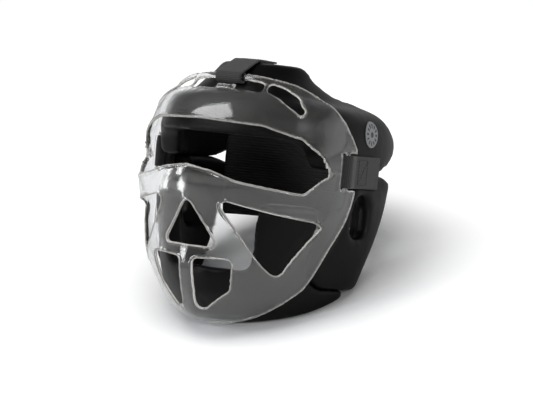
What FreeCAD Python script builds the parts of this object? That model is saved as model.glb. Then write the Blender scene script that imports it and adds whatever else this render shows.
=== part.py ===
"""Full-face boxing headgear: a dipped-foam head guard with a clear moulded face cage.

The guard is modelled upright, as it is worn: +Z up, -Y forwards, +X to the wearer's left.
Z is measured from a level line through the bridge of the nose, and Y from the middle of the temple bars.
Each sub-part's Placement then leans the guard back onto the flat that the chin and the ear pads rest on,
with the origin under the middle of the whole. Lengths are millimetres and angles are degrees.
"""
import FreeCAD, Part

import math
import os

from FreeCAD import Placement, Rotation, Vector

doc = FreeCAD.newDocument("BoxingHeadgear")

# ---------------------------------------------------------------- driving dimensions
SIZES = [
    # alias, size, what it is
    ("guard_half_width", 103.0, "outside of the foam at its widest, from the middle"),
    ("guard_front", 80.0, "foremost foam ahead of the temple bars"),
    ("guard_back", 160.0, "rearmost foam behind the temple bars"),
    ("crown_top", 124.0, "top of the crown above the nose line"),
    ("chin_bottom", 127.0, "lowest foam below the nose line, before the rest flat"),
    ("foam_thickness", 20.0, "foam wall"),
    ("rest_pitch", 27.0, "lean of the guard when it stands on a table"),
    ("rest_level", 90.0, "rest flat below the origin of the upright layout"),
    ("face_gap_top", 56.0, "lower lip of the forehead"),
    ("face_gap_low", -3.0, "top of the cheeks"),
    ("face_gap_back", -22.0, "rear end of the gap for the eyes"),
    ("mouth_half_width", 52.0, "half of the gap between the cheeks"),
    ("mouth_low", -67.0, "top of the chin"),
    ("chin_half_width", 32.0, "seams between the chin pad and the cheek pads"),
    ("ear_raise", 4.0, "how far the ear pads stand proud of the crown"),
    ("ear_hole_length", 40.0, "ear opening, upright"),
    ("ear_hole_width", 26.0, "ear opening, front to back"),
    ("ear_hole_depth", 27.0, "middle of each ear opening behind the temple bars"),
    ("ear_hole_height", -10.0, "middle of each ear opening above the nose line"),
    ("ear_room", 10.0, "hollow round each ear opening, into the foam from inside"),
    ("ear_room_margin", 8.0, "how far that hollow reaches past the opening"),
    ("cage_wall", 3.0, "clear moulding"),
    ("cage_side_gap", 1.0, "cage clear of the widest foam"),
    ("window_corner", 4.0, "corners of the cage's openings"),
    ("bar_width", 5.5, "strap bars of the cage"),
    ("bar_slot", 5.0, "slot ahead of each strap bar"),
    ("strap_width", 30.0, "side straps"),
    ("top_strap_width", 27.0, "top strap"),
    ("strap_thickness", 2.0, "webbing"),
    ("strap_height", 32.0, "middle of the side straps above the nose line"),
    ("strap_tail_end", 53.0, "rear end of the side straps"),
    ("top_tail_end", 2.0, "rear end of the top strap"),
    ("loop_play", 0.5, "webbing loop round the corners of its bar"),
    ("patch_thickness", 1.2, "hook patches and loop patches"),
    ("patch_gap", 0.3, "hook face off loop face"),
    ("strap_gap", 0.6, "webbing off the foam it passes"),
    ("patch_length", 36.0, "hook patches and loop patches of the side straps"),
    ("elastic_width", 93.0, "elastic panel behind the head"),
    ("elastic_thickness", 1.6, "elastic panel behind the head"),
    ("elastic_overlap", 45.0, "how far the elastic panel is sewn inside the wings"),
    ("elastic_height", 20.5, "middle of the elastic panel above the nose line"),
    ("seam_gap", 0.1, "between glued or sewn faces"),
    ("badge_radius", 12.5, "raised badge on each side of the crown"),
    ("badge_thickness", 1.0, "raised badge on each side of the crown"),
    ("badge_depth", 39.0, "middle of each badge behind the temple bars"),
    ("badge_height", 68.0, "middle of each badge above the nose line"),
]
sheet = doc.addObject("Spreadsheet::Sheet", "Sizes")
for row, (alias, size, note) in enumerate(SIZES, start=1):
    sheet.set(f"A{row}", alias)
    sheet.set(f"B{row}", str(size))
    sheet.set(f"C{row}", note)
    sheet.setAlias(f"B{row}", alias)
doc.recompute()
S = {alias: float(sheet.get(alias)) for alias, _, _ in SIZES}

SLACK = 60.0         # how far a cutting tool runs past what it cuts
RING_POINTS = 28     # points on each level outline
NOSE_LINE_TO_CROWN = 124.0   # the heights that the outlines below are drawn for
NOSE_LINE_TO_CHIN = 127.0
TEMPLE_TO_FRONT = 80.0       # the depths that they are drawn for
TEMPLE_TO_BACK = 160.0
MIDDLE_TO_SIDE = 103.0       # the half width that they are drawn for
NOTCH_Z = 31.0       # the notch between wing and ear pad, where the crown's lower edge meets the ear pad


# ---------------------------------------------------------------- layout and small tools
def high(z):
    """A height of the drawn outlines, stretched to the guard's own height."""
    return z * (S["crown_top"] / NOSE_LINE_TO_CROWN if z > 0 else S["chin_bottom"] / NOSE_LINE_TO_CHIN)


def above_notch(z):
    """A height above the strap notch, whose own height is fixed, stretched up to the guard's own crown."""
    return NOTCH_Z + (z - NOTCH_Z) * (S["crown_top"] - NOTCH_Z) / (NOSE_LINE_TO_CROWN - NOTCH_Z)


def below_notch(z):
    """A height below the strap notch: what lies below the nose line is stretched to the guard's own chin."""
    return high(z) if z < 0 else z


def deep(y):
    """A depth of the drawn outlines, stretched to the guard's own depth."""
    return y * (S["guard_back"] / TEMPLE_TO_BACK if y > 0 else S["guard_front"] / TEMPLE_TO_FRONT)


def wide(x):
    """A width of the drawn outlines, stretched to the guard's own width."""
    return x * S["guard_half_width"] / MIDDLE_TO_SIDE


def ring(z, front, middle, back, half_width, power):
    """A level, closed egg shape at height z, widest at middle: power 2 is an ellipse, more is squarer."""
    points = []
    for step in range(RING_POINTS):
        turn = 2 * math.pi * step / RING_POINTS
        across, along = math.sin(turn), math.cos(turn)
        reach = back - middle if along > 0 else middle - front
        points.append(Vector(half_width * math.copysign(abs(across) ** (2 / power), across),
                             middle + reach * math.copysign(abs(along) ** (2 / power), along), z))
    curve = Part.BSplineCurve()
    curve.interpolate(Points=points, PeriodicFlag=True)
    return Part.Wire([curve.toShape()])


def side_prism(points, half_width=2 * MIDDLE_TO_SIDE, corner=0.0):
    """A solid with a side-view outline of (y, z) points, running across the whole guard."""
    outline = [Vector(-half_width, y, z) for y, z in points]
    return prism(outline, Vector(2 * half_width, 0, 0), corner)


def front_prism(points, back=0.0, corner=0.0):
    """A solid with a front-view outline of (x, z) points, from well ahead of the cage to back."""
    start = -(S["guard_front"] + 2 * SLACK)
    outline = [Vector(x, start, z) for x, z in points]
    return prism(outline, Vector(0, back - start, 0), corner)


def prism(outline, run, corner=0.0):
    """A prism on a closed outline, with its edges along the run rounded by corner."""
    solid = Part.Face(Part.makePolygon(outline + outline[:1])).extrude(run)
    if corner > 0:
        along = [edge for edge in solid.Edges
                 if abs(edge.tangentAt(edge.FirstParameter).dot(run)) > 0.99 * run.Length]
        solid = solid.makeFillet(corner, along)
    return solid


def block(low, high_corner):
    """A box between two opposite corners."""
    low, high_corner = Vector(*low), Vector(*high_corner)
    size = high_corner - low
    return Part.makeBox(size.x, size.y, size.z, low)


def both_sides(shape):
    """A shape and its mirror image across the middle plane."""
    return shape.fuse(mirrored(shape))


def mirrored(shape):
    return shape.mirror(Vector(0, 0, 0), Vector(1, 0, 0))


def one_solid(shape):
    """The largest solid of a boolean's result, without slivers."""
    return max(shape.Solids, key=lambda solid: solid.Volume)


# ---------------------------------------------------------------- head form
# Level outlines of the foam: height, then how far its front sits behind guard_front, its widest place,
# how far its back sits ahead of guard_back, how far its side sits inside guard_half_width, and how
# square it is.
FOAM_RINGS = [
    (124, 50, 20, 60, 59, 2.2),
    (119, 40, 20, 40, 57, 2.2),
    (111, 32, 24, 26, 51, 2.2),
    (98, 22, 28, 14, 36, 2.2),
    (90, 16, 31, 8, 19, 2.2),
    (82, 10, 34, 1, 6, 2.3),
    (72, 6, 36, -3, 2, 2.35),
    (60, 2, 38, -7, 1, 2.4),
    (20, 0, 38, -3, 0, 2.3),
    (-15, 0, 38, 4, 0, 2.1),
    (-45, 0, 36, 20, 2, 1.9),
    (-80, 3, 30, 40, 7, 1.7),
    (-104, 20, 20, 70, 15, 1.5),
    (-114, 33, 18, 80, 21, 1.5),
    (-127, 42, 15, 95, 31, 1.5),
]


def head_form(inset=0.0, raise_by=0.0):
    """The solid head shape of the foam, inset by a wall or raised by a pad, and open-ended at the neck."""
    change = raise_by - inset
    rings = []
    for z, front, middle, back, side, power in FOAM_RINGS:
        level = high(z) + (change * z / NOSE_LINE_TO_CROWN if z > 0 else 0)
        rings.append(ring(level, -(S["guard_front"] - front) - change, middle, S["guard_back"] - back + change,
                          S["guard_half_width"] - side + change, power))
    form = Part.makeLoft(rings, True)
    if inset:
        z, front, middle, back, side, power = FOAM_RINGS[-1]
        neck = ring(high(z) + 1, -(S["guard_front"] - front) + inset, middle, S["guard_back"] - back - inset,
                    S["guard_half_width"] - side - inset, power)
        form = form.fuse(Part.Face(neck).extrude(Vector(0, 0, -SLACK)))
    return form


# ---------------------------------------------------------------- face cage form
# Level outlines of the cage's outside: height, how far ahead of guard_front, how far outside the foam's
# half width less the cage's own gap and wall, and squareness.
CAGE_RINGS = [
    (98, -16, -23, 2.3),
    (90, 2, -16.5, 2.1),
    (80, 13, -8.5, 2.0),
    (64, 21, -3.5, 1.95),
    (45, 28, 0, 2.1),
    (27, 35, 0, 2.1),
    (-3, 30, 0, 2.0),
    (-46, 20, -8, 2.0),
    (-62, 21, -12, 1.9),
    (-82, 16, -16.5, 1.65),
    (-103, 7, -35, 1.65),
    (-114, -6, -57, 1.8),
    (-119, -22, -70, 2.0),
]
FLANGE_TOP = (116, -28.5, -41, 2.2)   # the flange over the forehead climbs straight to this outline
CAGE_MIDDLE = 10.0
CAGE_BACK = 80.0

# The cage's rim in side view, from the middle of the top to the chin, as (y, z).
CAGE_RIM = [(-53.5, 113), (-36, 106.6), (-15, 90.5), (-1, 68), (10, 49), (10, 15), (0, -14),
            (-12, -40), (-25, -80), (-40, -105), (-50, -125)]


def cage_ring(outline, inset, lift=0.0):
    z, ahead, outside, power = outline
    grow = S["cage_side_gap"] + S["cage_wall"] - inset
    return ring(high(z) + lift, -(S["guard_front"] + ahead) + inset, CAGE_MIDDLE, CAGE_BACK - inset,
                S["guard_half_width"] + outside + grow, power)


def cage_form(inset=0.0):
    """The solid shape whose front is the outside of the cage, or its inside when inset by the wall."""
    shell = [cage_ring(outline, inset) for outline in CAGE_RINGS[:-1]]
    shell.append(cage_ring(CAGE_RINGS[-1], inset, lift=inset))
    flange = Part.makeLoft([cage_ring(CAGE_RINGS[0], inset), cage_ring(FLANGE_TOP, inset)], True, True)
    return Part.makeLoft(shell, True).fuse(flange)


# ---------------------------------------------------------------- where things meet
HALF_WIDTH = S["guard_half_width"]
CAGE_SIDE = HALF_WIDTH + S["cage_side_gap"] + S["cage_wall"]
STRAP_LOW = S["strap_height"] - S["strap_width"] / 2
STRAP_HIGH = S["strap_height"] + S["strap_width"] / 2
LOOP_INSIDE = math.hypot(S["bar_width"], S["cage_wall"]) / 2 + S["loop_play"]
LOOP_OUTSIDE = LOOP_INSIDE + S["strap_thickness"]

# Side strap bars: behind each bar the rim is notched, ahead of it is a slot.
SIDE_BAR_Y = -5.0 - S["bar_width"] / 2
SIDE_BAR_X = CAGE_SIDE - S["cage_wall"] / 2 - 0.5
SIDE_SLOT_FRONT = SIDE_BAR_Y - S["bar_width"] / 2 - S["bar_slot"]

# Top strap bar: along the top rim, where the flange climbs backwards at FLANGE_SLOPE from level.
FLANGE_RISE = high(FLANGE_TOP[0]) - high(CAGE_RINGS[0][0])
FLANGE_RUN = CAGE_RINGS[0][1] - FLANGE_TOP[1]
FLANGE_SLOPE = math.degrees(math.atan2(FLANGE_RISE, FLANGE_RUN))
TOP_BAR_SHARE = 0.57   # how far up the flange the bar's middle lies
TOP_BAR_Z = high(CAGE_RINGS[0][0]) + TOP_BAR_SHARE * FLANGE_RISE
TOP_BAR_Y = -(S["guard_front"] + CAGE_RINGS[0][1]) + TOP_BAR_SHARE * FLANGE_RUN + S["cage_wall"] / 2

# Layers of the side strap, outwards from the foam: loop patch, hook patch, webbing.
SEAT_X = HALF_WIDTH - 1.0
LOOP_PATCH_X = SEAT_X + S["patch_thickness"]
HOOK_PATCH_X = LOOP_PATCH_X + S["patch_gap"]
TAIL_X = HOOK_PATCH_X + S["patch_thickness"]
CHANNEL_X = HOOK_PATCH_X - S["strap_gap"] / 2
PATCH_REAR = S["strap_tail_end"] - 8.0
PATCH_FRONT = PATCH_REAR - S["patch_length"]

# Layers of the top strap, upwards.
TOP_SEAT_Z = S["crown_top"] - 1.5
TOP_LOOP_Z = TOP_SEAT_Z + S["patch_thickness"]
TOP_HOOK_Z = TOP_LOOP_Z + S["patch_gap"]
TOP_TAIL_Z = TOP_HOOK_Z + S["patch_thickness"]
TOP_PATCH_REAR = S["top_tail_end"] - 3.0
TOP_PATCH_FRONT = TOP_PATCH_REAR - 26.0
TOP_BEND_Y = TOP_PATCH_FRONT - 3.0


# ---------------------------------------------------------------- the foam guard
def rest_cut(shape):
    """The shape above the flat that the guard rests on."""
    corner = Vector(-3 * HALF_WIDTH, -3 * HALF_WIDTH, 0)
    tool = Part.makeBox(6 * HALF_WIDTH, 6 * HALF_WIDTH, SLACK * 2, corner)
    tool.translate(Vector(0, 0, -S["rest_level"] - SLACK * 2))
    tool.rotate(Vector(0, 0, 0), Vector(1, 0, 0), S["rest_pitch"])
    return shape.cut(tool)


# What is left open behind and above the guard, in side view as (y, z): down the sloping top edge to the tip
# of the wing, in to the notch above the ear pad, and down the ear pad's rear edge.
OPEN_BEHIND = [(4, 130), (4, 124), (101, 72), (110, 67.5), (113.5, 58), (107, 49), (92, 41), (61, NOTCH_Z),
               (91, 24), (82, -6), (65, -40), (50, -70), (46, -300), (400, -300), (400, 130)]


def rear_opening():
    """What is cut away behind the jaw and the ear pads, between the wings and above them."""
    outline = [(deep(y), above_notch(z) if z > NOTCH_Z else below_notch(z)) for y, z in OPEN_BEHIND]
    return side_prism(outline, corner=1.5)


def crown_opening():
    """The open top behind the forehead, as an upright hole a little smaller than the head."""
    hole = ring(high(60), deep(4), deep(40), S["guard_back"], HALF_WIDTH - S["foam_thickness"] - 18, 2.4)
    return Part.Face(hole).extrude(Vector(0, 0, high(124)))


def face_opening():
    """The gap for the eyes and the gap for the nose and mouth, which join."""
    back, low, top = S["face_gap_back"], S["face_gap_low"], S["face_gap_top"]
    middle, radius = (low + top) / 2, (top - low) / 2
    eyes = side_prism([(-3 * HALF_WIDTH, low), (back - radius, low), (back - radius, top),
                       (-3 * HALF_WIDTH, top)])
    end = Part.makeCylinder(radius, 4 * HALF_WIDTH, Vector(-2 * HALF_WIDTH, back - radius, middle),
                            Vector(1, 0, 0))
    mouth = front_prism([(-S["mouth_half_width"], middle), (-S["mouth_half_width"] + 8, S["mouth_low"]),
                         (S["mouth_half_width"] - 8, S["mouth_low"]), (S["mouth_half_width"], middle)],
                        corner=3 * S["window_corner"])
    return eyes.fuse(end).fuse(mouth)


def strap_channel():
    """The room at each side of the foam for the side strap's tail and its travel, and for the loops."""
    side = block((CHANNEL_X, -3 * HALF_WIDTH, STRAP_LOW - 1.5), (3 * HALF_WIDTH, deep(90), STRAP_HIGH + 1.5))
    seat = block((SEAT_X, PATCH_FRONT, STRAP_LOW), (3 * HALF_WIDTH, PATCH_REAR, STRAP_HIGH))
    room = Part.makeCylinder(LOOP_OUTSIDE + S["strap_gap"], S["strap_width"] + 3,
                             Vector(SIDE_BAR_X, SIDE_BAR_Y, STRAP_LOW - 1.5), Vector(0, 0, 1))
    return both_sides(side.fuse(seat).fuse(room))


def top_channel():
    """The room in the crown for the top strap and its loop, with the flat that its loop patch is glued to."""
    half = S["top_strap_width"] / 2 + 1.5
    room = Part.makeCylinder(LOOP_OUTSIDE + S["strap_gap"], 2 * half,
                             Vector(-half, TOP_BAR_Y, TOP_BAR_Z), Vector(1, 0, 0))
    under = side_prism(top_strap_outline(S["strap_gap"])[::-1], half)
    seat = block((-half, TOP_PATCH_FRONT, TOP_SEAT_Z), (half, S["top_tail_end"] + 40, S["crown_top"] + SLACK))
    return room.fuse(under).fuse(seat)


def top_strap_outline(below=0.0):
    """The side view of the top strap's webbing from its loop to its tail: its underside lowered by below."""
    start = Vector(0, TOP_BAR_Y, TOP_BAR_Z)
    bend = Vector(0, TOP_BEND_Y, TOP_TAIL_Z)
    run = bend - start
    angle = math.atan2(run.z, run.y) + math.asin(LOOP_INSIDE / run.Length)
    angle = math.atan2(run.z - LOOP_INSIDE * math.cos(angle), run.y + LOOP_INSIDE * math.sin(angle))
    normal = Vector(0, -math.sin(angle), math.cos(angle))
    low = start + normal * (LOOP_INSIDE - below)
    high_point = start + normal * LOOP_OUTSIDE
    turn = S["strap_thickness"] * math.tan(angle / 2)
    top = TOP_TAIL_Z + S["strap_thickness"] + (SLACK if below else 0)
    if below:
        high_point = high_point + normal * SLACK
        turn = (S["strap_thickness"] + SLACK) * math.tan(angle / 2)
    end = S["top_tail_end"]
    return [(low.y, low.z), (bend.y + below * math.sin(angle), TOP_TAIL_Z - below), (end, TOP_TAIL_Z - below),
            (end, top), (bend.y - turn, top), (high_point.y, high_point.z)]


OUTER = head_form()
INNER = head_form(inset=S["foam_thickness"])
REAR = rear_opening()
EAR_OUTLINE = [(-22, NOTCH_Z), (61, NOTCH_Z), (91, 24), (82, -6), (65, -40), (50, -70), (46, -80), (-6, -78),
               (-17, -70), (-22, -55)]


def ear_zone():
    """The side-view outline of the ear pads, as a prism across the guard."""
    return side_prism([(deep(y), below_notch(z)) for y, z in EAR_OUTLINE])


def wing_zone():
    """The part of the guard behind the temples and above the strap notch, as a prism across the guard."""
    return side_prism([(deep(61), NOTCH_Z), (deep(61), high(200)), (deep(300), high(200)),
                       (deep(300), NOTCH_Z)])


def crown_shell():
    """Forehead, temples and front of the crown in one padded piece, with room for both kinds of strap."""
    above = block((-3 * HALF_WIDTH, -3 * HALF_WIDTH, NOTCH_Z), (3 * HALF_WIDTH, 4 * HALF_WIDTH, high(300)))
    temple = block((-3 * HALF_WIDTH, S["face_gap_back"] - 20, S["face_gap_low"]),
                   (3 * HALF_WIDTH, S["face_gap_back"], NOTCH_Z))
    shape = OUTER.cut(INNER).cut(face_opening()).common(above.fuse(temple))
    shape = shape.cut(wing_zone()).cut(REAR).cut(crown_opening())
    return one_solid(shape.cut(strap_channel()).cut(top_channel()))


def wing(side):
    """The rear lobe that wraps the back of the head: side is 1 for the wearer's left and -1 for the right."""
    shape = OUTER.cut(INNER).common(wing_zone()).cut(REAR).cut(strap_channel())
    return one_solid(shape.common(half_space(side)))


def half_space(side):
    low = (0 if side > 0 else -4 * HALF_WIDTH, -4 * HALF_WIDTH, -4 * HALF_WIDTH)
    top = (4 * HALF_WIDTH if side > 0 else 0, 4 * HALF_WIDTH, 4 * HALF_WIDTH)
    return block(low, top)


def ear_pad(side):
    """The raised pad over the ear, with an opening to hear through."""
    shape = head_form(raise_by=S["ear_raise"]).cut(INNER).common(ear_zone()).cut(REAR).cut(strap_channel())
    shape = shape.cut(cage_room())
    inside = HALF_WIDTH - S["foam_thickness"] + S["ear_room"]
    shape = shape.cut(ear_hole(3 * HALF_WIDTH)).cut(ear_hole(inside, S["ear_room_margin"]))
    return one_solid(rest_cut(shape.common(half_space(side))))


def ear_hole(half_width, margin=0.0):
    """A rounded upright hole through both ear pads, as far out as half_width."""
    along, up = S["ear_hole_width"] / 2 + margin, S["ear_hole_length"] / 2 + margin
    y, z = S["ear_hole_depth"], S["ear_hole_height"]
    hole = block((-half_width, y - along, z - up), (half_width, y + along, z + up))
    return hole.makeFillet(0.9 * along, [edge for edge in hole.Edges if abs(edge.tangentAt(0).x) > 0.99])


RIM_PLAY = 1.5       # the room that foam leaves behind the cage's rim


def cage_room():
    """The room that the cage's side walls fill, with a little to spare."""
    outline = [(-3 * HALF_WIDTH, high(-200)), (-3 * HALF_WIDTH, high(150))]
    outline += [(deep(y) + RIM_PLAY, high(z)) for y, z in CAGE_RIM]
    return cage_form(inset=-1.0).common(side_prism(outline))


def jaw():
    """Cheeks and chin before they are parted: they run back a little way under the ear pads."""
    below = block((-3 * HALF_WIDTH, -3 * HALF_WIDTH, high(-200)),
                  (3 * HALF_WIDTH, deep(30), S["face_gap_low"]))
    return rest_cut(OUTER.common(below).cut(INNER).cut(face_opening()).cut(ear_zone()))


def chin_zone():
    half = S["chin_half_width"]
    return block((-half, -3 * HALF_WIDTH, high(-200)), (half, 0, high(100)))


def chin_pad():
    """The padded cup in front of the chin."""
    return one_solid(JAW.common(chin_zone()))


def cheek_pad(side):
    """The pad over the cheek and along the jaw: side is 1 for the wearer's left and -1 for the right."""
    return one_solid(JAW.cut(chin_zone()).common(half_space(side)))


def badge(side):
    """A thin raised disc that follows the side of the crown."""
    skin = head_form(raise_by=S["badge_thickness"]).cut(OUTER)
    disc = Part.makeCylinder(S["badge_radius"], 2 * HALF_WIDTH,
                             Vector(0, deep(S["badge_depth"]), high(S["badge_height"])), Vector(side, 0, 0))
    return one_solid(skin.common(disc))


JAW = jaw()


# ---------------------------------------------------------------- the face cage
EYE_WINDOW = [(0, 67), (55, 65), (84, 56), (97, 43), (101, 28), (90, 9), (46, 16), (25, 23), (0, 27)]
SIDE_WINDOW = [(28.5, -3), (98, -18), (70, -71)]
NOSE_WINDOW = [(0, -3.5), (27.5, -46), (-27.5, -46)]
MOUTH_WINDOW = [(7.6, -58.5), (42, -57), (36, -84), (12, -105), (7.6, -98)]
FLANGE_WINDOW = [(41, 104), (55, 100), (68, 93), (78, 83), (80, 75), (72, 82), (57, 92), (41, 97.5)]
TONGUE_HALF_WIDTH = 11.0
TOP_SLOT_HALF_WIDTH = 36.0
TOP_SLOT_DEPTH = 11.0


def window(points, mirror_ends=False, corner=None):
    """A rounded prism through the cage's front with a front-view outline of (x, z) points."""
    outline = [(wide(x), high(z)) for x, z in points]
    if mirror_ends:
        outline += [(-x, z) for x, z in outline[-2:0:-1]]
    corner = S["window_corner"] if corner is None else corner
    return front_prism(outline, back=S["face_gap_back"], corner=corner)


def face_cage():
    """The clear moulding: a thin curved wall with windows, strap bars and a notched rim."""
    rim = side_prism([(-3 * HALF_WIDTH, high(-200)), (-3 * HALF_WIDTH, high(200)),
                      (deep(CAGE_RIM[0][0]), high(200))]
                     + [(deep(y), high(z)) for y, z in CAGE_RIM])
    shape = cage_form().cut(cage_form(inset=S["cage_wall"])).common(rim)
    shape = shape.cut(window(EYE_WINDOW, mirror_ends=True)).cut(window(NOSE_WINDOW))
    for points in (SIDE_WINDOW, MOUTH_WINDOW):
        shape = shape.cut(both_sides(window(points)))
    shape = shape.cut(both_sides(window(FLANGE_WINDOW, corner=2.0)))
    half = S["strap_width"] / 2 + 1.5
    notch = block((0, SIDE_BAR_Y + S["bar_width"] / 2, S["strap_height"] - half),
                  (3 * HALF_WIDTH, SLACK, S["strap_height"] + half))
    slot = block((0, SIDE_SLOT_FRONT, S["strap_height"] - half),
                 (3 * HALF_WIDTH, SIDE_BAR_Y - S["bar_width"] / 2, S["strap_height"] + half))
    shape = shape.cut(both_sides(notch.fuse(slot)))
    shape = shape.cut(top_slot())
    return one_solid(shape)


def flange_box(x_low, x_high, start, end):
    """A box across the top flange: start and end are distances down its slope from the bar's middle."""
    box = Part.makeBox(x_high - x_low, end - start, 6 * S["cage_wall"], Vector(x_low, start, -3 * S["cage_wall"]))
    box.rotate(Vector(0, 0, 0), Vector(1, 0, 0), FLANGE_SLOPE - 180)
    box.translate(Vector(0, TOP_BAR_Y, TOP_BAR_Z))
    return box


def top_slot():
    """The slot ahead of the top strap's bar with its tongue, and the rim's notch behind the bar."""
    edge = S["bar_width"] / 2
    half, tongue = wide(TOP_SLOT_HALF_WIDTH), wide(TONGUE_HALF_WIDTH)
    slot = flange_box(-half, half, edge, edge + S["bar_slot"])
    pocket = flange_box(tongue, half, edge, edge + TOP_SLOT_DEPTH)
    notch_half = S["top_strap_width"] / 2 + 2
    notch = flange_box(-notch_half, notch_half, -SLACK, -edge)
    return slot.fuse(both_sides(pocket)).fuse(notch)


# ---------------------------------------------------------------- straps and patches
def side_strap(side):
    """Webbing that loops round a temple bar and lies back along the guard."""
    loop = Part.makeCylinder(LOOP_OUTSIDE, S["strap_width"], Vector(0, 0, 0), Vector(0, 0, 1))
    loop = loop.cut(Part.makeCylinder(LOOP_INSIDE, S["strap_width"], Vector(0, 0, 0), Vector(0, 0, 1)))
    loop.translate(Vector(SIDE_BAR_X, SIDE_BAR_Y, STRAP_LOW))
    bend = Vector(TAIL_X, PATCH_FRONT - 3, 0)
    start = Vector(SIDE_BAR_X, SIDE_BAR_Y, 0)
    run = bend - start
    angle = math.atan2(run.x, run.y)
    for _ in range(4):
        normal = Vector(math.cos(angle), -math.sin(angle), 0)
        inner = start + normal * LOOP_INSIDE
        angle = math.atan2(bend.x - inner.x, bend.y - inner.y)
    outer = start + normal * LOOP_OUTSIDE
    turn = S["strap_thickness"] * math.tan(-angle / 2)
    outline = [inner, bend, Vector(TAIL_X, S["strap_tail_end"], 0),
               Vector(TAIL_X + S["strap_thickness"], S["strap_tail_end"], 0),
               Vector(TAIL_X + S["strap_thickness"], bend.y + turn, 0), outer]
    outline = [Vector(point.x, point.y, STRAP_LOW) for point in outline]
    strap = one_solid(loop.fuse(prism(outline, Vector(0, 0, S["strap_width"]))).removeSplitter())
    return strap if side > 0 else mirrored(strap)


def top_strap():
    """Webbing that loops round the bar of the top rim and lies back over the crown."""
    width = S["top_strap_width"]
    loop = Part.makeCylinder(LOOP_OUTSIDE, width, Vector(-width / 2, TOP_BAR_Y, TOP_BAR_Z), Vector(1, 0, 0))
    room = Part.makeCylinder(LOOP_INSIDE, width, Vector(-width / 2, TOP_BAR_Y, TOP_BAR_Z), Vector(1, 0, 0))
    loop = loop.cut(room)
    tail = side_prism(top_strap_outline(), width / 2)
    return one_solid(loop.fuse(tail).removeSplitter())


def rear_elastic():
    """The wide elastic panel behind the head, sewn inside both wings."""
    inset = S["foam_thickness"] + S["seam_gap"]
    panel = head_form(inset).cut(head_form(inset + S["elastic_thickness"]))
    half = S["elastic_width"] / 2
    front = deep(119) - S["elastic_overlap"]
    return one_solid(panel.common(block((-3 * HALF_WIDTH, front, S["elastic_height"] - half),
                                        (3 * HALF_WIDTH, 4 * HALF_WIDTH, S["elastic_height"] + half))))


# ---------------------------------------------------------------- the document's sub-parts
PARTS = []


def add(name, shape):
    """A sub-part of its own: its Label names its file."""
    item = doc.addObject("Part::Feature", name)
    item.Shape = shape
    item.Label = name
    PARTS.append(item)
    return item


def add_patch(name, low, size):
    """A flat patch: size holds sheet aliases or plain numbers for its X, Y and Z lengths."""
    item = doc.addObject("Part::Box", name)
    item.Label = name
    for side, value in zip(("Length", "Width", "Height"), size):
        if isinstance(value, str):
            item.setExpression(side, f"Sizes.{value}")
        else:
            setattr(item, side, value)
    item.Placement = Placement(Vector(*low), Rotation())
    PARTS.append(item)
    return item


def add_sides(name, left, right):
    """Two sub-parts that mirror each other."""
    add(f"{name}_left", left)
    add(f"{name}_right", right)


patch_width = S["strap_width"] - 2.0
top_patch_width = S["top_strap_width"] - 2.0
add("crown_shell", crown_shell())
add_sides("wing", wing(1), wing(-1))
add_sides("ear_pad", ear_pad(1), ear_pad(-1))
add("chin_pad", chin_pad())
add_sides("cheek_pad", cheek_pad(1), cheek_pad(-1))
add_sides("badge", badge(1), badge(-1))
add("rear_elastic", rear_elastic())
add("face_cage", face_cage())
add("top_strap", top_strap())
add_sides("side_strap", side_strap(1), side_strap(-1))

side_patch = ("patch_thickness", "patch_length", patch_width)
patch_low = STRAP_LOW + 1.0
for side, name in ((1, "left"), (-1, "right")):
    for kind, inner_x in (("loop", SEAT_X), ("hook", HOOK_PATCH_X)):
        low_x = inner_x if side > 0 else -inner_x - S["patch_thickness"]
        add_patch(f"side_{kind}_patch_{name}", (low_x, PATCH_FRONT, patch_low), side_patch)
top_patch = (top_patch_width, TOP_PATCH_REAR - TOP_PATCH_FRONT, "patch_thickness")
for kind, low_z in (("loop", TOP_SEAT_Z), ("hook", TOP_HOOK_Z)):
    add_patch(f"top_{kind}_patch", (-top_patch_width / 2, TOP_PATCH_FRONT, low_z), top_patch)
doc.recompute()

# ---------------------------------------------------------------- lean back, then stand on the origin
lean = Placement(Vector(0, 0, 0), Rotation(Vector(1, 0, 0), -S["rest_pitch"]))
for item in PARTS:
    item.Placement = lean.multiply(item.Placement)
whole = FreeCAD.BoundBox()
for item in PARTS:
    whole.add(item.Shape.optimalBoundingBox(True, False))
stand = Vector(0, -(whole.YMin + whole.YMax) / 2, -whole.ZMin)
for item in PARTS:
    item.Placement.Base = item.Placement.Base + stand
doc.recompute()

for item in doc.Objects:
    if "Invalid" in item.State or "Error" in item.State:
        raise RuntimeError(f"{item.Label} failed to build: {item.State}")
for item in PARTS:
    if item.Shape.isNull() or not item.Shape.isValid():
        raise RuntimeError(f"{item.Label} has no valid shape")
os.makedirs("parts", exist_ok=True)
for item in PARTS:
    item.Shape.exportStep(f"parts/{item.Label}.step")
print("stands at", [round(value, 3) for value in stand])
print("side bar", round(SIDE_BAR_X, 2), round(SIDE_BAR_Y, 2), "top bar", round(TOP_BAR_Y, 2), round(TOP_BAR_Z, 2))
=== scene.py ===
import math

import bpy
import numpy as np
from mathutils import Matrix, Vector
from mathutils.bvhtree import BVHTree
from mathutils.kdtree import KDTree


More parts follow.
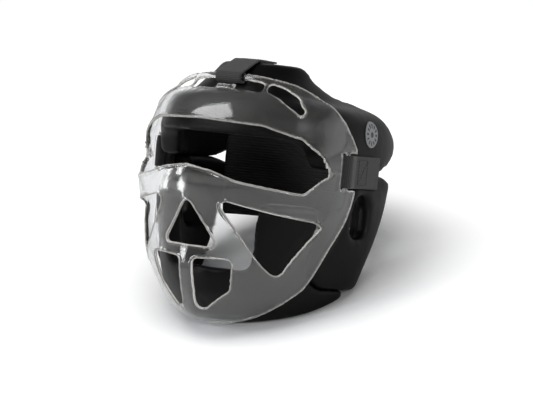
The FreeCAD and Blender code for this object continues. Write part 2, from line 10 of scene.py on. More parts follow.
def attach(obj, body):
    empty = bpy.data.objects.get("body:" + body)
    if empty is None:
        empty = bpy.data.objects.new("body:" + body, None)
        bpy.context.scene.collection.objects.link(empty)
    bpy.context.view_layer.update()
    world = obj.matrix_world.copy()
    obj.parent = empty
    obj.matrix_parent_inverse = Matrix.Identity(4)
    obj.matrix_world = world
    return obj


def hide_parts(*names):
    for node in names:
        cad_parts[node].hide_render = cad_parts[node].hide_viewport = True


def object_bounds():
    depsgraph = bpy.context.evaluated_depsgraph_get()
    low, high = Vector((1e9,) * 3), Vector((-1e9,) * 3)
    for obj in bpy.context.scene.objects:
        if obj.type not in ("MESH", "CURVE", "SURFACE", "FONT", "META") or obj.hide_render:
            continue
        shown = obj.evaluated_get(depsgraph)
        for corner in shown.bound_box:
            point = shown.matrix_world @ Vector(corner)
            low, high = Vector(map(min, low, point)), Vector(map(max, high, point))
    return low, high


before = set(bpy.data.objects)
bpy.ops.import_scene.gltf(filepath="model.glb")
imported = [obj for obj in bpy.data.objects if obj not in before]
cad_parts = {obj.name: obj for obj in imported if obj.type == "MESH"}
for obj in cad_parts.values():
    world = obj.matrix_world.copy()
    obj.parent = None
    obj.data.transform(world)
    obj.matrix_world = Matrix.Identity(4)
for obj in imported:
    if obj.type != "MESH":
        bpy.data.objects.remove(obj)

cad_low, cad_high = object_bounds()

# ------------------------------------------------------------------ table and light
# The headgear stands on a plain white table under three soft lamps: a large one overhead, a narrow one
# ahead on the wearer's right, and a low strip on the wearer's left.
FROM_LOW, FROM_HIGH, TO_LOW, TO_HIGH = 1, 2, 3, 4   # inputs of a Map Range node
FIRST_COLOUR, SECOND_COLOUR, MIXED = 6, 7, 2        # colour inputs and output of a Mix node
TABLE_SIZE = 8.0
MERGE_WITHIN = 1e-6     # metres between points that are one point


def linear(hex_colour):
    """An sRGB hex colour as the linear colour that a shader takes."""
    parts = [int(hex_colour[i:i + 2], 16) / 255 for i in (1, 3, 5)]
    return tuple(c / 12.92 if c <= 0.04045 else ((c + 0.055) / 1.055) ** 2.4 for c in parts) + (1.0,)


def new_material(name):
    material = bpy.data.materials.new(name)
    material.use_nodes = True
    material.node_tree.nodes.clear()
    return material


def add_node(material, kind, settings=None, links=None):
    """One node, with its settings by socket or property, and the (node, output) that feeds each input."""
    node = material.node_tree.nodes.new(kind)
    for name, value in (settings or {}).items():
        socket = node.inputs[name] if isinstance(name, int) else node.inputs.get(name)
        if socket is not None:
            socket.default_value = value
        else:
            setattr(node, name, value)
    for name, (source, output) in (links or {}).items():
        material.node_tree.links.new(source.outputs[output], node.inputs[name])
    return node


def two_tones(material, first, second, by, output=0):
    """A colour between two hex colours, picked by a node's output."""
    tones = {"data_type": "RGBA", FIRST_COLOUR: linear(first), SECOND_COLOUR: linear(second)}
    return add_node(material, "ShaderNodeMix", tones, {0: (by, output)})


def show(material, shader):
    add_node(material, "ShaderNodeOutputMaterial", links={"Surface": (shader, 0)})


def deselect():
    bpy.ops.object.select_all(action="DESELECT")


def apply_modifier(piece, kind, **settings):
    """Works one modifier into the active piece's mesh."""
    modifier = piece.modifiers.new(kind.lower(), kind)
    for name, value in settings.items():
        setattr(modifier, name, value)
    bpy.ops.object.modifier_apply(modifier=modifier.name)


def smooth_skin(piece, voxel, passes):
    """The piece's solids as one even skin, with the cut edges rounded by this many passes."""
    apply_modifier(piece, "REMESH", mode="VOXEL", voxel_size=voxel, adaptivity=0.0)
    apply_modifier(piece, "SMOOTH", factor=0.5, iterations=passes)


def waves_apart(pitch):
    """The scale at which a Wave texture's bands lie this many metres apart."""
    return 2 * math.pi / 20 / pitch


def ray_tree(mesh):
    return BVHTree.FromPolygons([v.co for v in mesh.vertices], [list(p.vertices) for p in mesh.polygons])


bpy.context.scene.view_settings.view_transform = "Standard"
deselect()
bpy.ops.mesh.primitive_plane_add(size=TABLE_SIZE, location=(0, 0, 0))
table = bpy.context.object
table.name = "table"

# Matt white paper sweep: it takes the soft shadow, looks white to the camera, and greyer in reflections.
paper = new_material("matt_white_paper")
rays = add_node(paper, "ShaderNodeLightPath")
seen = add_node(paper, "ShaderNodeMath", {"operation": "MAXIMUM"},
                {0: (rays, "Is Camera Ray"), 1: (rays, "Is Transmission Ray")})
glint = add_node(paper, "ShaderNodeMath", {"operation": "MULTIPLY", 1: 0.3}, {0: (rays, "Is Glossy Ray")})
seen = add_node(paper, "ShaderNodeMath", {"operation": "MAXIMUM"}, {0: (seen, 0), 1: (glint, 0)})
# Painted shadow: where the guard stands over the paper, ambient occlusion takes the glow away, so the paper is
# darker under and round it.
painted_shadow_ao = add_node(paper, "ShaderNodeAmbientOcclusion", {"Distance": 0.35, "samples": 12})
shade = add_node(paper, "ShaderNodeMapRange", {FROM_LOW: 0.45, FROM_HIGH: 0.88, TO_LOW: 0.0, TO_HIGH: 0.62},
                 {0: (painted_shadow_ao, "AO")})
lift = add_node(paper, "ShaderNodeMath", {"operation": "MULTIPLY"}, {0: (seen, 0), 1: (shade, 0)})
flat = add_node(paper, "ShaderNodeBsdfDiffuse", {"Color": linear("#e9e9e9")})
glow = add_node(paper, "ShaderNodeEmission", {"Color": (1, 1, 1, 1)}, {"Strength": (lift, 0)})
both = add_node(paper, "ShaderNodeAddShader", links={0: (flat, 0), 1: (glow, 0)})
show(paper, both)
table.data.materials.append(paper)

world = bpy.data.worlds.new("studio")
bpy.context.scene.world = world
world.use_nodes = True
world.node_tree.nodes.clear()
rays = add_node(world, "ShaderNodeLightPath")
fill_light = add_node(world, "ShaderNodeBackground", {"Color": linear("#f2f5fa"), "Strength": 0.15})
backdrop = add_node(world, "ShaderNodeBackground", {"Color": (1, 1, 1, 1), "Strength": 1.0})
# A white backdrop stands round the table, and above it the room is dim.
direction = add_node(world, "ShaderNodeTexCoord")
height = add_node(world, "ShaderNodeSeparateXYZ", links={0: (direction, "Generated")})
wall = add_node(world, "ShaderNodeMapRange", {FROM_LOW: 0.12, FROM_HIGH: 0.35, TO_LOW: 1.0, TO_HIGH: 0.0},
                {0: (height, "Z")})
through = add_node(world, "ShaderNodeMath", {"operation": "MAXIMUM"},
                   {0: (rays, "Is Transmission Ray"), 1: (rays, "Is Glossy Ray")})
through = add_node(world, "ShaderNodeMath", {"operation": "MULTIPLY"}, {0: (through, 0), 1: (wall, 0)})
seen = add_node(world, "ShaderNodeMath", {"operation": "MAXIMUM"},
                {0: (rays, "Is Camera Ray"), 1: (through, 0)})
sky = add_node(world, "ShaderNodeMixShader", links={0: (seen, 0), 1: (fill_light, 0), 2: (backdrop, 0)})
add_node(world, "ShaderNodeOutputWorld", links={"Surface": (sky, 0)})


def soft_lamp(name, place, target, width, height, watts):
    lamp = bpy.data.lights.new(name, "AREA")
    lamp.shape = "RECTANGLE"
    lamp.size, lamp.size_y, lamp.energy = width, height, watts
    holder = bpy.data.objects.new(name, lamp)
    bpy.context.scene.collection.objects.link(holder)
    holder.location = place
    holder.rotation_mode = "QUATERNION"
    holder.rotation_quaternion = (Vector(place) - Vector(target)).to_track_quat("Z", "Y")


middle = (cad_low + cad_high) / 2
soft_lamp("overhead_lamp", (-0.55, -0.35, 1.45), middle, 0.9, 0.9, 13.0)
soft_lamp("right_hand_lamp", (-0.95, -1.15, 0.75), middle, 0.18, 0.9, 5.5)
soft_lamp("left_strip_lamp", (1.35, -0.10, 0.55), middle, 0.22, 0.7, 6.0)

# The camera looks down at the wearer's left front, a little tilted.
AZIMUTH, ELEVATION, TILT = math.radians(34.72), math.radians(25.27), math.radians(-9.19)
CAMERA_PLACE = (0.8406, -1.2036, 0.7689)
LENS_MM, SENSOR_MM = 114.2, 36.0
camera = bpy.data.objects.new("camera", bpy.data.cameras.new("camera"))
bpy.context.scene.collection.objects.link(camera)
bpy.context.scene.camera = camera
away = Vector((math.sin(AZIMUTH) * math.cos(ELEVATION), -math.cos(AZIMUTH) * math.cos(ELEVATION),
               math.sin(ELEVATION)))
camera.location = CAMERA_PLACE
camera.rotation_mode = "QUATERNION"
camera.rotation_quaternion = away.to_track_quat("Z", "Y")
camera.rotation_quaternion = camera.rotation_quaternion @ Matrix.Rotation(TILT, 3, "Z").to_quaternion()
camera.data.sensor_width = SENSOR_MM
camera.data.lens = LENS_MM
camera.data.clip_start, camera.data.clip_end = 0.05, 50.0

# ------------------------------------------------------------------ dipped foam guard
# Closed-cell foam cut and moulded to the head, then dipped in black vinyl, so that every piece is one
# seamless skin with rounded edges: the crown with its two wings, the jaw, and a raised pad on each ear.
FOAM_VOXEL = 0.0024   # metres between the skin's points
FOAM_ROUNDING = 26    # passes that round the cut edges
FOAM_SWELL = 0.0002   # part of what the rounding takes off the flats, given back


def copy_of(name, nodes):
    """The solids of some nodes, copied into one piece and merged at their doubled points."""
    deselect()
    copies = []
    for node in nodes:
        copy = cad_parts[node].copy()
        copy.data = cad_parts[node].data.copy()
        copy.parent = None
        for key in list(copy.keys()):
            del copy[key]
        bpy.context.scene.collection.objects.link(copy)
        copy.select_set(True)
        copies.append(copy)
    bpy.context.view_layer.objects.active = copies[0]
    if len(copies) > 1:
        bpy.ops.object.join()
    piece = bpy.context.object
    piece.name = name
    piece.data.materials.clear()
    bpy.ops.object.mode_set(mode="EDIT")
    bpy.ops.mesh.select_all(action="SELECT")
    bpy.ops.mesh.remove_doubles(threshold=MERGE_WITHIN)
    bpy.ops.object.mode_set(mode="OBJECT")
    return piece


def foam_piece(name, nodes):
    """The foam solids of some nodes as one smooth dipped skin."""
    piece = copy_of(name, nodes)
    smooth_skin(piece, FOAM_VOXEL, FOAM_ROUNDING)
    apply_modifier(piece, "DISPLACE", strength=FOAM_SWELL, mid_level=0.0)
    bpy.ops.object.shade_smooth()
    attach(piece, "guard")
    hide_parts(*nodes)
    return piece


# Dipped vinyl skin: semi-gloss black with a faint orange peel and shallow hollows from the foam below.
vinyl = new_material("dipped_vinyl_foam")
place = add_node(vinyl, "ShaderNodeTexCoord")
patches = add_node(vinyl, "ShaderNodeTexNoise", {"Scale": 28.0, "Detail": 3.0}, {"Vector": (place, "Object")})
tone = two_tones(vinyl, "#060505", "#100d0d", patches)
shine = add_node(vinyl, "ShaderNodeMapRange", {TO_LOW: 0.36, TO_HIGH: 0.46}, {0: (patches, 0)})
hollows = add_node(vinyl, "ShaderNodeTexNoise", {"Scale": 42.0, "Detail": 2.0, "Roughness": 0.4},
                   {"Vector": (place, "Object")})
peel = add_node(vinyl, "ShaderNodeTexNoise", {"Scale": 700.0, "Detail": 2.0}, {"Vector": (place, "Object")})
lumps = add_node(vinyl, "ShaderNodeBump", {"Strength": 0.5, "Distance": 0.0016}, {"Height": (hollows, 0)})
grain = add_node(vinyl, "ShaderNodeBump", {"Strength": 0.07, "Distance": 0.0002},
                 {"Height": (peel, 0), "Normal": (lumps, 0)})
skin = add_node(vinyl, "ShaderNodeBsdfPrincipled", {"IOR": 1.45, "Specular IOR Level": 0.15},
                {"Base Color": (tone, MIXED), "Roughness": (shine, 0), "Normal": (grain, 0)})
show(vinyl, skin)

crown = foam_piece("crown_and_wings", ["crown_shell", "wing_left", "wing_right"])
jaw = foam_piece("jaw_pad", ["chin_pad", "cheek_pad_left", "cheek_pad_right"])
ear_left = foam_piece("ear_pad_skin_left", ["ear_pad_left"])
ear_right = foam_piece("ear_pad_skin_right", ["ear_pad_right"])
for piece in (crown, jaw, ear_left, ear_right):
    piece.data.materials.append(vinyl)

# ------------------------------------------------------------------ ear badges
# A thin disc of pale moulded rubber on each side of the crown, with a ring of short raised dashes
# round a plain centre; it is bonded to the foam's skin.
BADGE_VOXEL = 0.0006
BADGE_ROUNDING = 4
BADGE_RADIUS = 0.0125
DASHES = 12
DASHES_FROM, DASHES_TO, CENTRE_TO = 0.5, 0.82, 0.22   # shares of the badge's radius

rubber = new_material("moulded_rubber")
place = add_node(rubber, "ShaderNodeTexCoord")
speck = add_node(rubber, "ShaderNodeTexNoise", {"Scale": 900.0, "Detail": 2.0}, {"Vector": (place, "Object")})
around = add_node(rubber, "ShaderNodeAttribute", {"attribute_name": "dashes"})
tone = two_tones(rubber, "#8d8f92", "#2a2a2c", around, "Fac")
relief = add_node(rubber, "ShaderNodeBump", {"Strength": 0.25, "Distance": 0.0002}, {"Height": (speck, 0)})
body = add_node(rubber, "ShaderNodeBsdfPrincipled", {"Roughness": 0.45, "IOR": 1.5},
                {"Base Color": (tone, MIXED), "Normal": (relief, 0)})
show(rubber, body)

for side in ("left", "right"):
    disc = copy_of("ear_badge_" + side, ["badge_" + side])
    smooth_skin(disc, BADGE_VOXEL, BADGE_ROUNDING)
    bpy.ops.object.shade_smooth()
    points = np.array([vertex.co for vertex in disc.data.vertices])
    y, z = (points[:, axis] - (points[:, axis].min() + points[:, axis].max()) / 2 for axis in (1, 2))
    out = np.hypot(y, z) / BADGE_RADIUS
    in_ring = (out > DASHES_FROM) & (out < DASHES_TO)
    dashes = (in_ring & (np.cos(np.arctan2(z, y) * DASHES) > 0.0)) | (out < CENTRE_TO)
    disc.data.attributes.new("dashes", "FLOAT", "POINT").data.foreach_set("value", dashes.astype(np.float32))
    disc.data.materials.append(rubber)
    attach(disc, "guard")
    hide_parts("badge_" + side)

# ------------------------------------------------------------------ rear elastic panel
# A wide band of ribbed elastic, woven with rubber cores, stretched behind the head and sewn inside
# both wings.
ELASTIC_LOW, ELASTIC_HIGH = -0.0256, 0.0666   # metres above the nose line
ELASTIC_THICKNESS = 0.0015
RIB = 0.0027                                 # from one rubber core to the next
REST_TILT = math.radians(27.0)               # how far the guard leans back as it rests
LEAN, RISE = math.cos(REST_TILT), math.sin(REST_TILT)
REST_SHIFT = Vector((0.0, -0.015303, 0.090))
HEAD_MIDDLE = 0.038                          # the panel bends round this line, metres behind the temples
HALF_CAD_PANEL = 0.0008
NARROWEST_HALF, WIDEST_HALF = 0.2, 1.4       # radians from the middle within which the panel ends
END_MARGIN = 0.004                           # radians short of the CAD panel's end
END_STEPS = 18


def placed(x, y, z):
    """A point of the upright guard, in metres, where it lies at rest."""
    return Vector((x, y * LEAN + z * RISE, -y * RISE + z * LEAN)) + REST_SHIFT


def grid_piece(name, along, across, where):
    """A fine grid whose points lie at where(u, v), with u and v from 0 to 1 along and across it."""
    deselect()
    bpy.ops.mesh.primitive_grid_add(x_subdivisions=along, y_subdivisions=across, size=1.0)
    piece = bpy.context.object
    piece.name = name
    for vertex in piece.data.vertices:
        vertex.co = where(vertex.co.x + 0.5, vertex.co.y + 0.5)
    return piece


def give_thickness(piece, thickness, edge):
    """Thickens a grid to both sides and bevels its rim by edge."""
    apply_modifier(piece, "SOLIDIFY", thickness=thickness, offset=0.0, use_even_offset=True)
    apply_modifier(piece, "BEVEL", width=edge, segments=2, limit_method="ANGLE", angle_limit=math.radians(50))
    bpy.ops.object.mode_set(mode="EDIT")
    bpy.ops.mesh.select_all(action="SELECT")
    bpy.ops.mesh.normals_make_consistent(inside=False)
    bpy.ops.object.mode_set(mode="OBJECT")
    bpy.ops.object.shade_smooth_by_angle(angle=math.radians(45))


band_tree = ray_tree(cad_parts["rear_elastic"].data)


def band_hit(angle, z):
    """The middle of the CAD panel's wall at an angle from straight behind, or None past its end."""
    start = placed(0.0, HEAD_MIDDLE, z)
    toward = placed(math.sin(angle), HEAD_MIDDLE + math.cos(angle), z) - start
    point = band_tree.ray_cast(start, toward)[0]
    return None if point is None else point + toward.normalized() * HALF_CAD_PANEL


def band_end(z):
    """The angle at which the CAD panel ends at a height."""
    near, far = NARROWEST_HALF, WIDEST_HALF
    for _ in range(END_STEPS):
        guess = (near + far) / 2
        near, far = (guess, far) if band_hit(guess, z) is not None else (near, guess)
    return near - END_MARGIN


ends = {}    # the panel's end at each height already asked for


def on_band(u, v):
    z = ELASTIC_LOW + v * (ELASTIC_HIGH - ELASTIC_LOW)
    key = round(v, 5)
    if key not in ends:
        ends[key] = band_end(z)
    return band_hit((2 * u - 1) * ends[key], z)


elastic = grid_piece("elastic_panel", 90, 60, on_band)
give_thickness(elastic, ELASTIC_THICKNESS, 0.0004)

ribbed = new_material("ribbed_woven_elastic")
place = add_node(ribbed, "ShaderNodeTexCoord")
flat_on = add_node(ribbed, "ShaderNodeMapping", {"Rotation": (REST_TILT, 0, 0)}, {"Vector": (place, "Object")})
ribs = add_node(ribbed, "ShaderNodeTexWave", {"bands_direction": "Z", "Scale": waves_apart(RIB)},
                {"Vector": (flat_on, 0)})
threads = add_node(ribbed, "ShaderNodeTexNoise", {"Scale": 1600.0, "Detail": 2.0},
                   {"Vector": (place, "Object")})
tone = two_tones(ribbed, "#080708", "#161517", ribs, "Fac")
ridges = add_node(ribbed, "ShaderNodeBump", {"Strength": 0.8, "Distance": 0.0005}, {"Height": (ribs, "Fac")})
nap = add_node(ribbed, "ShaderNodeBump", {"Strength": 0.3, "Distance": 0.0002},
               {"Height": (threads, 0), "Normal": (ridges, 0)})
cloth = add_node(ribbed, "ShaderNodeBsdfPrincipled", {"Roughness": 0.8, "Sheen Weight": 0.2},
                 {"Base Color": (tone, MIXED), "Normal": (nap, 0)})
show(ribbed, cloth)
elastic.data.materials.append(ribbed)
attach(elastic, "guard")
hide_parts("rear_elastic")

# ------------------------------------------------------------------ hook and loop patches
# Nylon hook-and-loop tape: soft loops sewn to the guard, stiff hooks sewn under each strap's tail.
TAPE_EDGE = 0.0004

fuzz = new_material("hook_and_loop_tape")
place = add_node(fuzz, "ShaderNodeTexCoord")
tufts = add_node(fuzz, "ShaderNodeTexVoronoi", {"Scale": 900.0}, {"Vector": (place, "Object")})
hairs = add_node(fuzz, "ShaderNodeTexNoise", {"Scale": 2200.0, "Detail": 3.0}, {"Vector": (place, "Object")})
tone = two_tones(fuzz, "#0d0c0d", "#2b292b", hairs)
tufted = add_node(fuzz, "ShaderNodeBump", {"Strength": 1.0, "Distance": 0.0006},
                  {"Height": (tufts, "Distance")})
hairy = add_node(fuzz, "ShaderNodeBump", {"Strength": 0.6, "Distance": 0.0003},
                 {"Height": (hairs, 0), "Normal": (tufted, 0)})
cloth = add_node(fuzz, "ShaderNodeBsdfPrincipled", {"Roughness": 0.95, "Sheen Weight": 0.4},
                 {"Base Color": (tone, MIXED), "Normal": (hairy, 0)})
show(fuzz, cloth)

for node, body in (("side_loop_patch_left", "guard"), ("side_loop_patch_right", "guard"),
                   ("side_hook_patch_left", "left_strap"), ("side_hook_patch_right", "right_strap"),
                   ("top_loop_patch", "guard"), ("top_hook_patch", "crown_strap")):
    tape = copy_of(node.replace("patch", "tape"), [node])
    apply_modifier(tape, "BEVEL", width=TAPE_EDGE, segments=2, limit_method="ANGLE")
    bpy.ops.object.shade_smooth_by_angle(angle=math.radians(40))
    tape.data.materials.append(fuzz)
    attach(tape, body)
    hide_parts(node)

# ------------------------------------------------------------------ clear face cage
# One injection moulding of clear polycarbonate, 3 mm thick, with a raised bead round each window and
# a shallow groove along its lower rim. Near its edges a milky white is painted in as a highlight, for the
# light that gathers there.
CAGE_VOXEL = 0.00123
CAGE_ROUNDING = 16
PAINTED_HIGHLIGHT_REACH = 0.0022      # how far the painted edge highlight reaches in from an edge
WALL = 0.003
EDGE_DEPTH = 1.55       # a point is at an edge where the wall under it runs this many walls deep
RAY_START = 1e-4        # rays into the wall start this far below its face
OUTER_FACE = 0.35       # how squarely a face that takes the bead looks outward
CAGE_MIDDLE = 0.010     # its faces look out from this line, metres behind the temples
SIDE_BARS_FROM, SIDE_BARS_LOW, SIDE_BARS_HIGH = -0.018, 0.013, 0.051   # no bead round the strap bars
TOP_BAR_HALF_WIDTH, TOP_BAR_LOW = 0.042, 0.098
RIM_HIGH, RIM_REACH = 0.012, 0.004      # the groove runs below this height, this near the rim
BEAD_WIDTH, BEAD_HEIGHT = 0.0036, 0.0006
GROOVE_FROM_RIM, GROOVE_WIDTH, GROOVE_DEPTH = 0.0052, 0.0022, 0.0006
# The rear rim in side view, metres behind the temples and above the nose line.
RIM_LINE = [(-0.0535, 0.113), (-0.036, 0.1066), (-0.015, 0.0905), (-0.001, 0.068), (0.010, 0.049),
            (0.010, 0.015), (0.0, -0.014), (-0.012, -0.040), (-0.025, -0.080), (-0.040, -0.105),
            (-0.050, -0.125)]
RIM_Y, RIM_DEPTH = [y for y, _ in RIM_LINE], [-z for _, z in RIM_LINE]

cage = copy_of("clear_face_cage", ["face_cage"])
smooth_skin(cage, CAGE_VOXEL, CAGE_ROUNDING)

mesh = cage.data
points = np.array([vertex.co for vertex in mesh.vertices])
normals = np.array([vertex.normal for vertex in mesh.vertices])
tree = ray_tree(mesh)
moved = points - np.array(REST_SHIFT)
upright = np.stack([moved[:, 0], moved[:, 1] * LEAN - moved[:, 2] * RISE,
                    moved[:, 1] * RISE + moved[:, 2] * LEAN], 1)
deep_points = []
for i in range(len(points)):
    inward = Vector(-normals[i])
    depth = tree.ray_cast(Vector(points[i]) + inward * RAY_START, inward)[3]
    if depth is not None and depth > EDGE_DEPTH * WALL:
        deep_points.append(i)
edges = KDTree(len(deep_points))
for k, i in enumerate(deep_points):
    edges.insert(points[i], k)
edges.balance()
outward_y = upright[:, 1] - CAGE_MIDDLE
facing = normals[:, 0] * upright[:, 0] + (normals[:, 1] * LEAN - normals[:, 2] * RISE) * outward_y
facing = facing / np.hypot(upright[:, 0], outward_y)
# Painted highlight: each point's weight of milky white, full at an edge and gone beyond the reach.
painted_edge_highlight = np.zeros(len(points), dtype=np.float32)
raised = np.zeros(len(points))
for i in range(len(points)):
    _, k, distance = edges.find(points[i])
    painted_edge_highlight[i] = max(0.0, 1.0 - distance / PAINTED_HIGHLIGHT_REACH)
    x, y, z = upright[i]
    at_side_bar = y > SIDE_BARS_FROM and SIDE_BARS_LOW < z < SIDE_BARS_HIGH
    at_top_bar = abs(x) < TOP_BAR_HALF_WIDTH and z > TOP_BAR_LOW
    if facing[i] < OUTER_FACE or at_side_bar or at_top_bar:
        continue
    step = min(1.0, abs(distance - BEAD_WIDTH / 2) / (BEAD_WIDTH / 2))
    raised[i] = BEAD_HEIGHT * (0.5 + 0.5 * math.cos(math.pi * step))
    edge_y, edge_z = upright[deep_points[k]][1:]
    rim_y = np.interp(-edge_z, RIM_DEPTH, RIM_Y)
    if z < RIM_HIGH and abs(edge_y - rim_y) < RIM_REACH:
        step = min(1.0, abs(distance - GROOVE_FROM_RIM) / (GROOVE_WIDTH / 2))
        raised[i] -= GROOVE_DEPTH * (0.5 + 0.5 * math.cos(math.pi * step))
for i, vertex in enumerate(mesh.vertices):
    vertex.co = points[i] + normals[i] * raised[i]
mesh.attributes.new("painted_edge_highlight", "FLOAT", "POINT").data.foreach_set("value", painted_edge_highlight)
bpy.ops.object.shade_smooth()

# Clear polycarbonate: it bends and reflects light strongly, a fine haze of use greys it over black, and a
# painted highlight of milky white lies along its edges.
clear = new_material("moulded_clear_polycarbonate")
place = add_node(clear, "ShaderNodeTexCoord")
flow = add_node(clear, "ShaderNodeTexNoise", {"Scale": 55.0, "Detail": 1.0}, {"Vector": (place, "Object")})
scuff = add_node(clear, "ShaderNodeTexNoise", {"Scale": 160.0, "Detail": 4.0}, {"Vector": (place, "Object")})
painted_highlight_mask = add_node(clear, "ShaderNodeAttribute", {"attribute_name": "painted_edge_highlight"})
wave = add_node(clear, "ShaderNodeBump", {"Strength": 0.3, "Distance": 0.0008}, {"Height": (flow, 0)})
glass = add_node(clear, "ShaderNodeBsdfPrincipled",
                 {"Base Color": linear("#f6f7f8"), "Transmission Weight": 1.0, "Roughness": 0.07, "IOR": 1.5},
                 {"Normal": (wave, 0)})
painted_highlight_and_haze = add_node(clear, "ShaderNodeBsdfPrincipled", {"Base Color": linear("#e4e0d8"), "Roughness": 0.3,
                                                    "IOR": 1.58})
haze_and_highlight_share = add_node(clear, "ShaderNodeMapRange",
                 {FROM_LOW: 0.3, FROM_HIGH: 0.75, TO_LOW: 0.012, TO_HIGH: 0.035}, {0: (scuff, 0)})
# Up to 0.8 of the milky shader is mixed in near each edge as a painted highlight, on top of the scuffed haze.
painted_highlight_share = add_node(clear, "ShaderNodeMath", {"operation": "MULTIPLY", 1: 0.8}, {0: (painted_highlight_mask, "Fac")})
haze_and_highlight_share = add_node(clear, "ShaderNodeMath", {"operation": "ADD", "use_clamp": True},
                 {0: (haze_and_highlight_share, 0), 1: (painted_highlight_share, 0)})
solid = add_node(clear, "ShaderNodeMixShader", links={0: (haze_and_highlight_share, 0), 1: (glass, 0), 2: (painted_highlight_and_haze, 0)})
rays = add_node(clear, "ShaderNodeLightPath")
through = add_node(clear, "ShaderNodeBsdfTransparent", {"Color": linear("#cfd2d5")})
shadow = add_node(clear, "ShaderNodeMixShader",
                  links={0: (rays, "Is Shadow Ray"), 1: (solid, 0), 2: (through, 0)})
show(clear, shadow)
cage.data.materials.append(clear)
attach(cage, "cage")
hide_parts("face_cage")

# ------------------------------------------------------------------ webbing straps
# Nylon webbing, 2 mm thick: each strap is looped round a bar of the cage and sewn to itself, and its
# tail lies back over the guard.
WEBBING = 0.0019
WEBBING_EDGE = 0.00045
ALONG_POINTS, ACROSS_POINTS, LOOP_POINTS = 120, 12, 28
SIDE_WIDTH, SIDE_HEIGHT = 0.030, 0.032   # the side straps, and their middle above the nose line
TOP_WIDTH = 0.027
RIB_PITCH, THREAD_PITCH = 0.0014, 0.0011
LOOP_RADIUS = 0.00463       # middle of the webbing round its bar
STITCH_PITCH, STITCH_THREAD, STITCH_MARGIN = 0.0030, 0.00042, 0.0035
SIDE_BAR = (0.105, -0.00775)
TOP_BAR = (-0.05538, 0.10826)


def sew(strap, place_at, seam, width):
    """A box of thick lock stitches on the webbing's outer face, joined to the strap."""
    (a0, b0), (a1, b1) = seam
    margin = width / 2 - STITCH_MARGIN
    corners = [(0, -margin), (1, -margin), (1, margin), (0, margin), (0, -margin), (1, margin)]
    spots = []
    for (s0, w0), (s1, w1) in zip(corners, corners[1:]):
        start = place_at(a0 + (a1 - a0) * s0, b0 + (b1 - b0) * s0, w0)
        end = place_at(a0 + (a1 - a0) * s1, b0 + (b1 - b0) * s1, w1)
        count = max(2, round((end - start).length / STITCH_PITCH))
        spots += [(start.lerp(end, (k + 0.5) / count), end - start) for k in range(count)]
    threads = []
    for spot, run in spots:
        deselect()
        bpy.ops.mesh.primitive_ico_sphere_add(subdivisions=1, radius=1.0)
        thread = bpy.context.object
        turn = run.to_track_quat("X", "Z").to_matrix().to_4x4()
        size = Matrix.Diagonal((STITCH_PITCH * 0.42, STITCH_THREAD, STITCH_THREAD, 1.0))
        thread.data.transform(Matrix.Translation(spot) @ turn @ size)
        thread.data.materials.append(thread_finish)
        threads.append(thread)
    deselect()
    for thread in threads:
        thread.select_set(True)
    strap.select_set(True)
    bpy.context.view_layer.objects.active = strap
    bpy.ops.object.join()


def webbing_strap(name, node, body, path, width, place_at, seam):
    """A strip of webbing along a flat path; place_at gives a point from the path's two and its width.
    seam is the path's line under the stitched box that closes the loop."""
    path = np.array(path)
    run = np.concatenate([[0], np.cumsum(np.hypot(*np.diff(path, axis=0).T))])
    length = run[-1]

    def where(u, v):
        a, b = np.interp(u * length, run, path[:, 0]), np.interp(u * length, run, path[:, 1])
        return place_at(a, b, (v - 0.5) * width)

    strap = grid_piece(name, ALONG_POINTS, ACROSS_POINTS, where)
    for corner in strap.data.uv_layers[0].data:
        corner.uv = (corner.uv.x * length, corner.uv.y * width)
    give_thickness(strap, WEBBING, WEBBING_EDGE)
    strap.data.materials.append(webbing)
    sew(strap, place_at, seam, width)
    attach(strap, body)
    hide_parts(node)


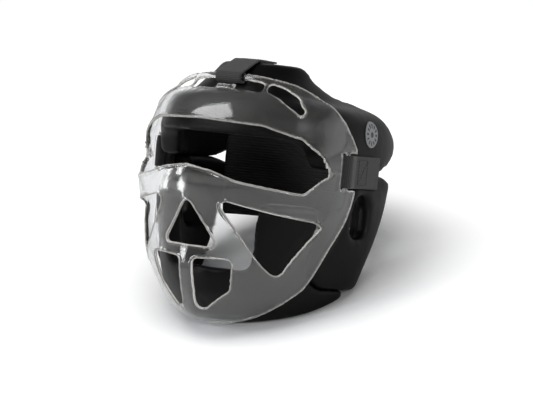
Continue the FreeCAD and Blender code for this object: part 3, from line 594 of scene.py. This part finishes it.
# Twill-woven nylon: ribs across the strap 1.4 mm apart, crossed by the finer lengthwise threads.
webbing = new_material("woven_nylon_webbing")
cut = add_node(webbing, "ShaderNodeTexCoord")
across, along = (add_node(webbing, "ShaderNodeTexWave",
                          {"bands_direction": axis, "Scale": waves_apart(pitch),
                           "Distortion": 0.6, "Detail": 1.0}, {"Vector": (cut, "UV")})
                 for axis, pitch in (("X", RIB_PITCH), ("Y", THREAD_PITCH)))
weave = add_node(webbing, "ShaderNodeMath", {"operation": "MULTIPLY"}, {0: (across, "Fac"), 1: (along, "Fac")})
tone = two_tones(webbing, "#120f10", "#332e2f", weave)
crossed = add_node(webbing, "ShaderNodeBump", {"Strength": 0.9, "Distance": 0.0004}, {"Height": (weave, 0)})
cloth = add_node(webbing, "ShaderNodeBsdfPrincipled", {"Roughness": 0.6, "Sheen Weight": 0.25},
                 {"Base Color": (tone, MIXED), "Normal": (crossed, 0)})
show(webbing, cloth)

# Bonded polyester thread, a shade paler than the webbing.
thread_finish = new_material("bonded_polyester_thread")
place = add_node(thread_finish, "ShaderNodeTexCoord")
ply = add_node(thread_finish, "ShaderNodeTexNoise", {"Scale": 2500.0}, {"Vector": (place, "Object")})
tone = two_tones(thread_finish, "#1c191a", "#3b3637", ply)
cloth = add_node(thread_finish, "ShaderNodeBsdfPrincipled", {"Roughness": 0.45}, {"Base Color": (tone, MIXED)})
show(thread_finish, cloth)

side_path = [(SIDE_BAR[0] + LOOP_RADIUS * math.cos(a), SIDE_BAR[1] + LOOP_RADIUS * math.sin(a))
             for a in np.radians(np.linspace(60.0, 375.9, LOOP_POINTS))]
side_path += [(0.1071, 0.0015), (0.1061, 0.0048), (0.1058, 0.0066), (0.1057, 0.0085), (0.1057, 0.0528)]
for sign, side in ((1, "left"), (-1, "right")):
    webbing_strap("side_webbing_" + side, "side_strap_" + side, side + "_strap", side_path, SIDE_WIDTH,
                  lambda x, y, w, sign=sign: placed(sign * x, y, SIDE_HEIGHT + w),
                  seam=((0.10675, 0.0115), (0.10675, 0.0280)))
top_path = [(TOP_BAR[0] + LOOP_RADIUS * math.cos(a), TOP_BAR[1] + LOOP_RADIUS * math.sin(a))
            for a in np.radians(np.linspace(72.0, -242.93, LOOP_POINTS))]
top_path += [(-0.0330, 0.1247), (-0.0310, 0.12555), (-0.0290, 0.1261), (-0.0265, 0.1262), (0.0018, 0.1262)]
webbing_strap("top_webbing", "top_strap", "crown_strap", top_path, TOP_WIDTH, lambda y, z, w: placed(w, y, z),
              seam=((-0.0245, 0.12725), (-0.0090, 0.12725)))
